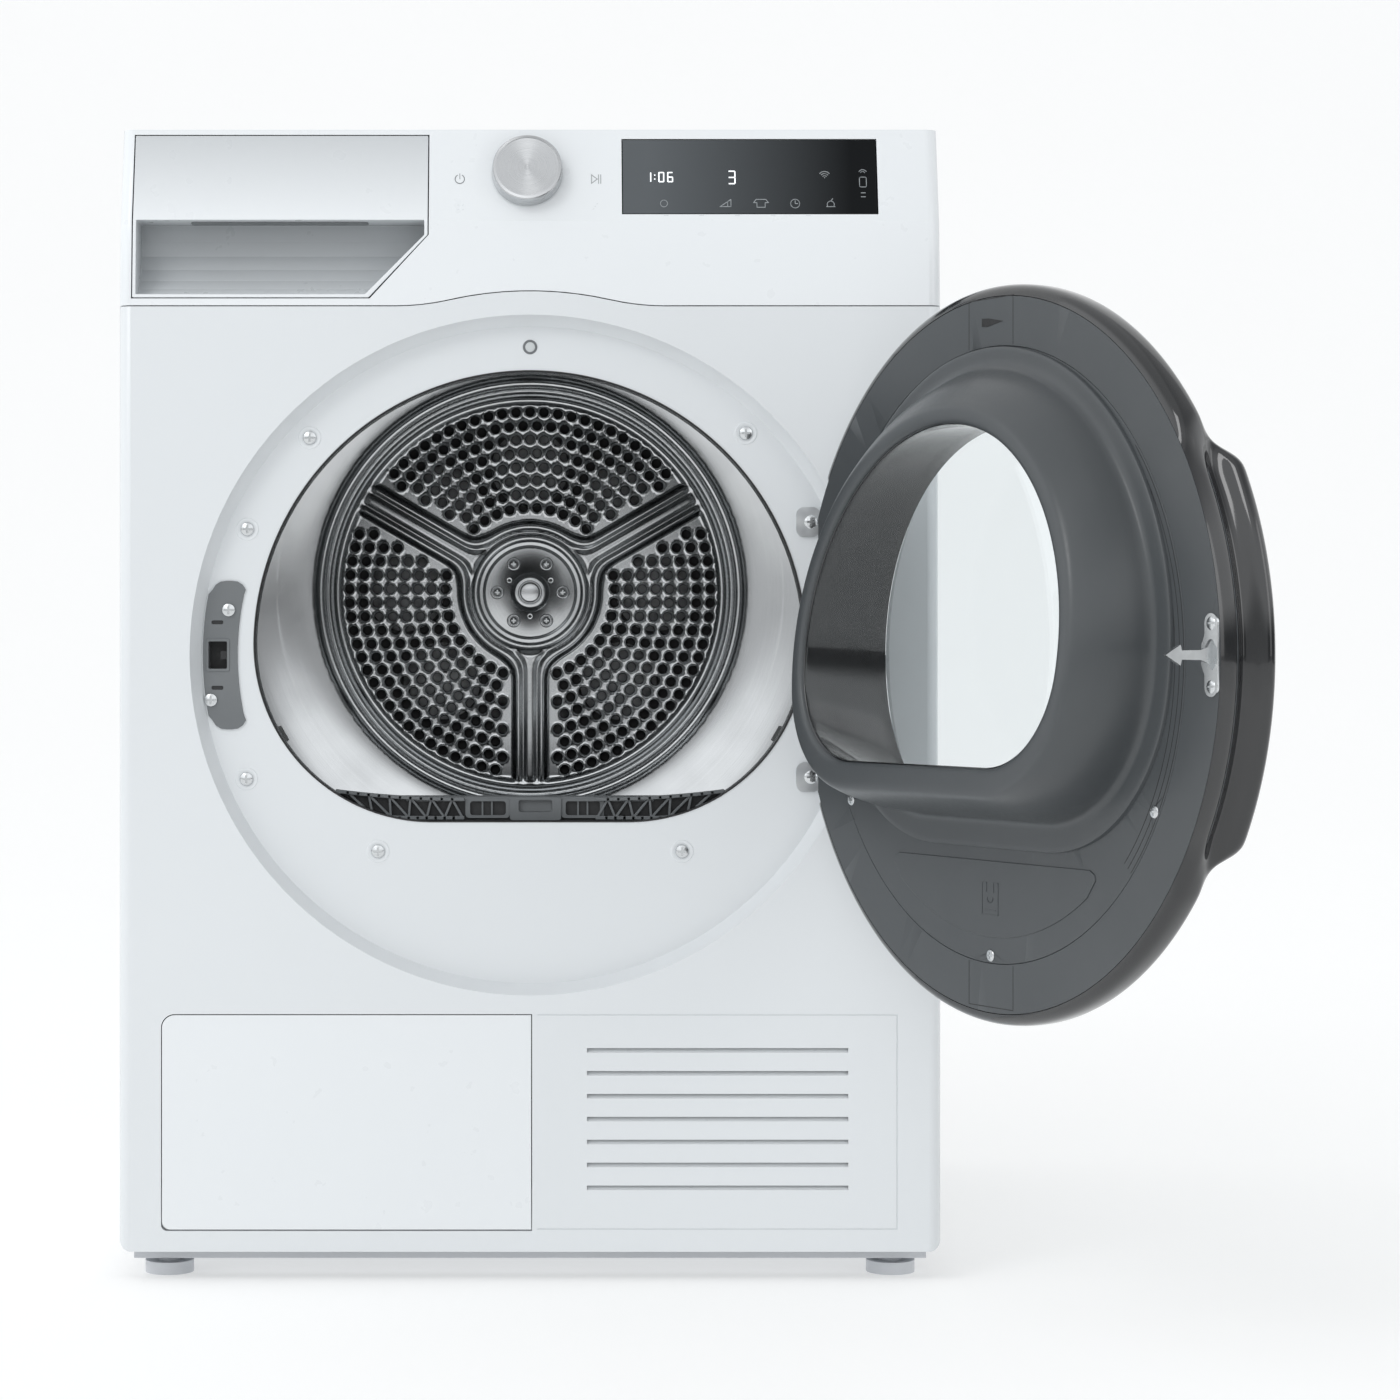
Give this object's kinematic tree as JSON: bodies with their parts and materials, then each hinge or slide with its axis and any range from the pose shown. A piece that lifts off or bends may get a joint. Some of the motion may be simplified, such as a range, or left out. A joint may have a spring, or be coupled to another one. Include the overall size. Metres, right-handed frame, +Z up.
{
  "type": "clothes dryer",
  "caption": "Free-standing front-loading heat-pump clothes dryer with an open round door, a perforated drum, a pull-out water tank and a lift-out lint filter.",
  "frame": {"origin": "on the floor, in the middle of the pattern of the four feet, under the cabinet", "axes": "+X to the right seen from the front, +Y to the back, +Z up"},
  "size_m": [0.7483, 1.0518, 0.845],
  "materials": {
    "white_enamel": "gloss",
    "white_plastic": "satin",
    "galvanised_steel": "satin",
    "stainless_steel": "brushed",
    "screw_steel": "satin",
    "dark_grey_plastic": "matte",
    "light_grey_plastic": "matte",
    "grey_plastic": "matte",
    "black_gloss": "gloss",
    "display_glass": "gloss",
    "clear_window": "gloss",
    "brushed_metal": "brushed",
    "black_plastic": "matte",
    "green_board": "matte",
    "fin_aluminium": "satin",
    "black_paint": "satin",
    "black_rubber": "matte",
    "felt": "matte",
    "tank_plastic": "satin"
  },
  "bodies": {
    "cabinet": {"base_tray": "light_grey_plastic", "blower_housing": "black_plastic", "compressor": "black_paint", "condensate_pump": "black_plastic", "condenser": "fin_aluminium", "control_board": "green_board", "control_fascia": "white_plastic", "display_glass": "display_glass", "drain_hose": "black_rubber", "drain_spigot": "black_plastic", "drive_belt": "black_rubber", "drum_front_seal": "felt", "evaporator": "fin_aluminium", "exchanger_cover": "black_plastic", "front_bulkhead": "galvanised_steel", "front_panel": "white_enamel", "hinge_brackets": "galvanised_steel", "hinge_screws": "screw_steel", "latch_housing": "dark_grey_plastic", "levelling_feet": "light_grey_plastic", "lint_duct": "grey_plastic", "mains_inlet": "black_plastic", "motor_housing": "galvanised_steel", "opening_screws": "screw_steel", "rear_bearing": "screw_steel", "rear_bulkhead": "black_plastic", "rear_duct_cover": "galvanised_steel", "rear_panel": "galvanised_steel", "side_panel_left": "white_enamel", "side_panel_right": "white_enamel", "tank_guide": "tank_plastic", "tension_arm": "galvanised_steel", "top_cover": "white_enamel", "vent_grille": "white_plastic"},
    "door": {"door_frame": "dark_grey_plastic", "door_inner_cover": "dark_grey_plastic", "door_bowl": "dark_grey_plastic", "door_window": "clear_window", "door_outer_trim": "black_gloss", "door_strike": "galvanised_steel", "door_screws": "screw_steel", "door_hinge_arms": "galvanised_steel"},
    "drum": {"drum_shell": "stainless_steel", "drum_back": "stainless_steel", "drum_hub": "stainless_steel", "hub_screws": "screw_steel", "drum_shaft": "screw_steel", "drum_lifters": "grey_plastic"},
    "motor_rotor": {"motor_shaft": "screw_steel", "fan_wheel": "black_plastic"},
    "idler": {"idler_pulley": "black_plastic"},
    "roller_left": {"support_roller_left": "grey_plastic"},
    "roller_right": {"support_roller_right": "grey_plastic"},
    "tank_drawer": {"drawer_front": "white_plastic", "water_tank": "tank_plastic", "tank_lid": "tank_plastic"},
    "lint_filter": {"lint_filter_frame": "grey_plastic", "lint_filter_mesh": "felt"},
    "flap": {"service_flap": "white_plastic"},
    "knob": {"program_knob": "brushed_metal"}
  },
  "joints": [
    {"name": "door_hinge", "type": "hinge", "parent": "cabinet", "child": "door", "pos_m": [0.226, -0.316, 0.458], "axis": [0, 0, 1], "range_deg": [-117, 38]},
    {"name": "drum_spin", "type": "hinge", "parent": "cabinet", "child": "drum", "pos_m": [0, 0, 0.513], "axis": [0, 1, 0], "continuous": true},
    {"name": "motor_spin", "type": "hinge", "parent": "cabinet", "child": "motor_rotor", "pos_m": [0.15, 0, 0.14], "axis": [0, 1, 0], "continuous": true},
    {"name": "idler_spin", "type": "hinge", "parent": "cabinet", "child": "idler", "pos_m": [0.09163, 0, 0.13216], "axis": [0, 1, 0], "continuous": true},
    {"name": "roller_left_spin", "type": "hinge", "parent": "cabinet", "child": "roller_left", "pos_m": [-0.17397, -0.219, 0.26455], "axis": [0, 1, 0], "continuous": true},
    {"name": "roller_right_spin", "type": "hinge", "parent": "cabinet", "child": "roller_right", "pos_m": [0.17397, -0.219, 0.26455], "axis": [0, 1, 0], "continuous": true},
    {"name": "tank_slide", "type": "slide", "parent": "cabinet", "child": "tank_drawer", "axis": [0, -1, 0], "range_m": [0, 0.38]},
    {"name": "filter_slide", "type": "slide", "parent": "cabinet", "child": "lint_filter", "axis": [0, 0, 1], "range_m": [0, 0.095]},
    {"name": "flap_hinge", "type": "hinge", "parent": "cabinet", "child": "flap", "pos_m": [0, -0.2974, 0.043], "axis": [1, 0, 0], "range_deg": [0, 90]},
    {"name": "knob_turn", "type": "hinge", "parent": "cabinet", "child": "knob", "pos_m": [-0.002, -0.28441, 0.811], "axis": [0, -0.9622, 0.2723], "continuous": true}
  ],
  "couplings": [
    {"joint": "motor_spin", "follows": "drum_spin", "ratio": 29.367},
    {"joint": "idler_spin", "follows": "drum_spin", "ratio": -14.43},
    {"joint": "roller_left_spin", "follows": "drum_spin", "ratio": -14.15},
    {"joint": "roller_right_spin", "follows": "drum_spin", "ratio": -14.15}
  ]
}
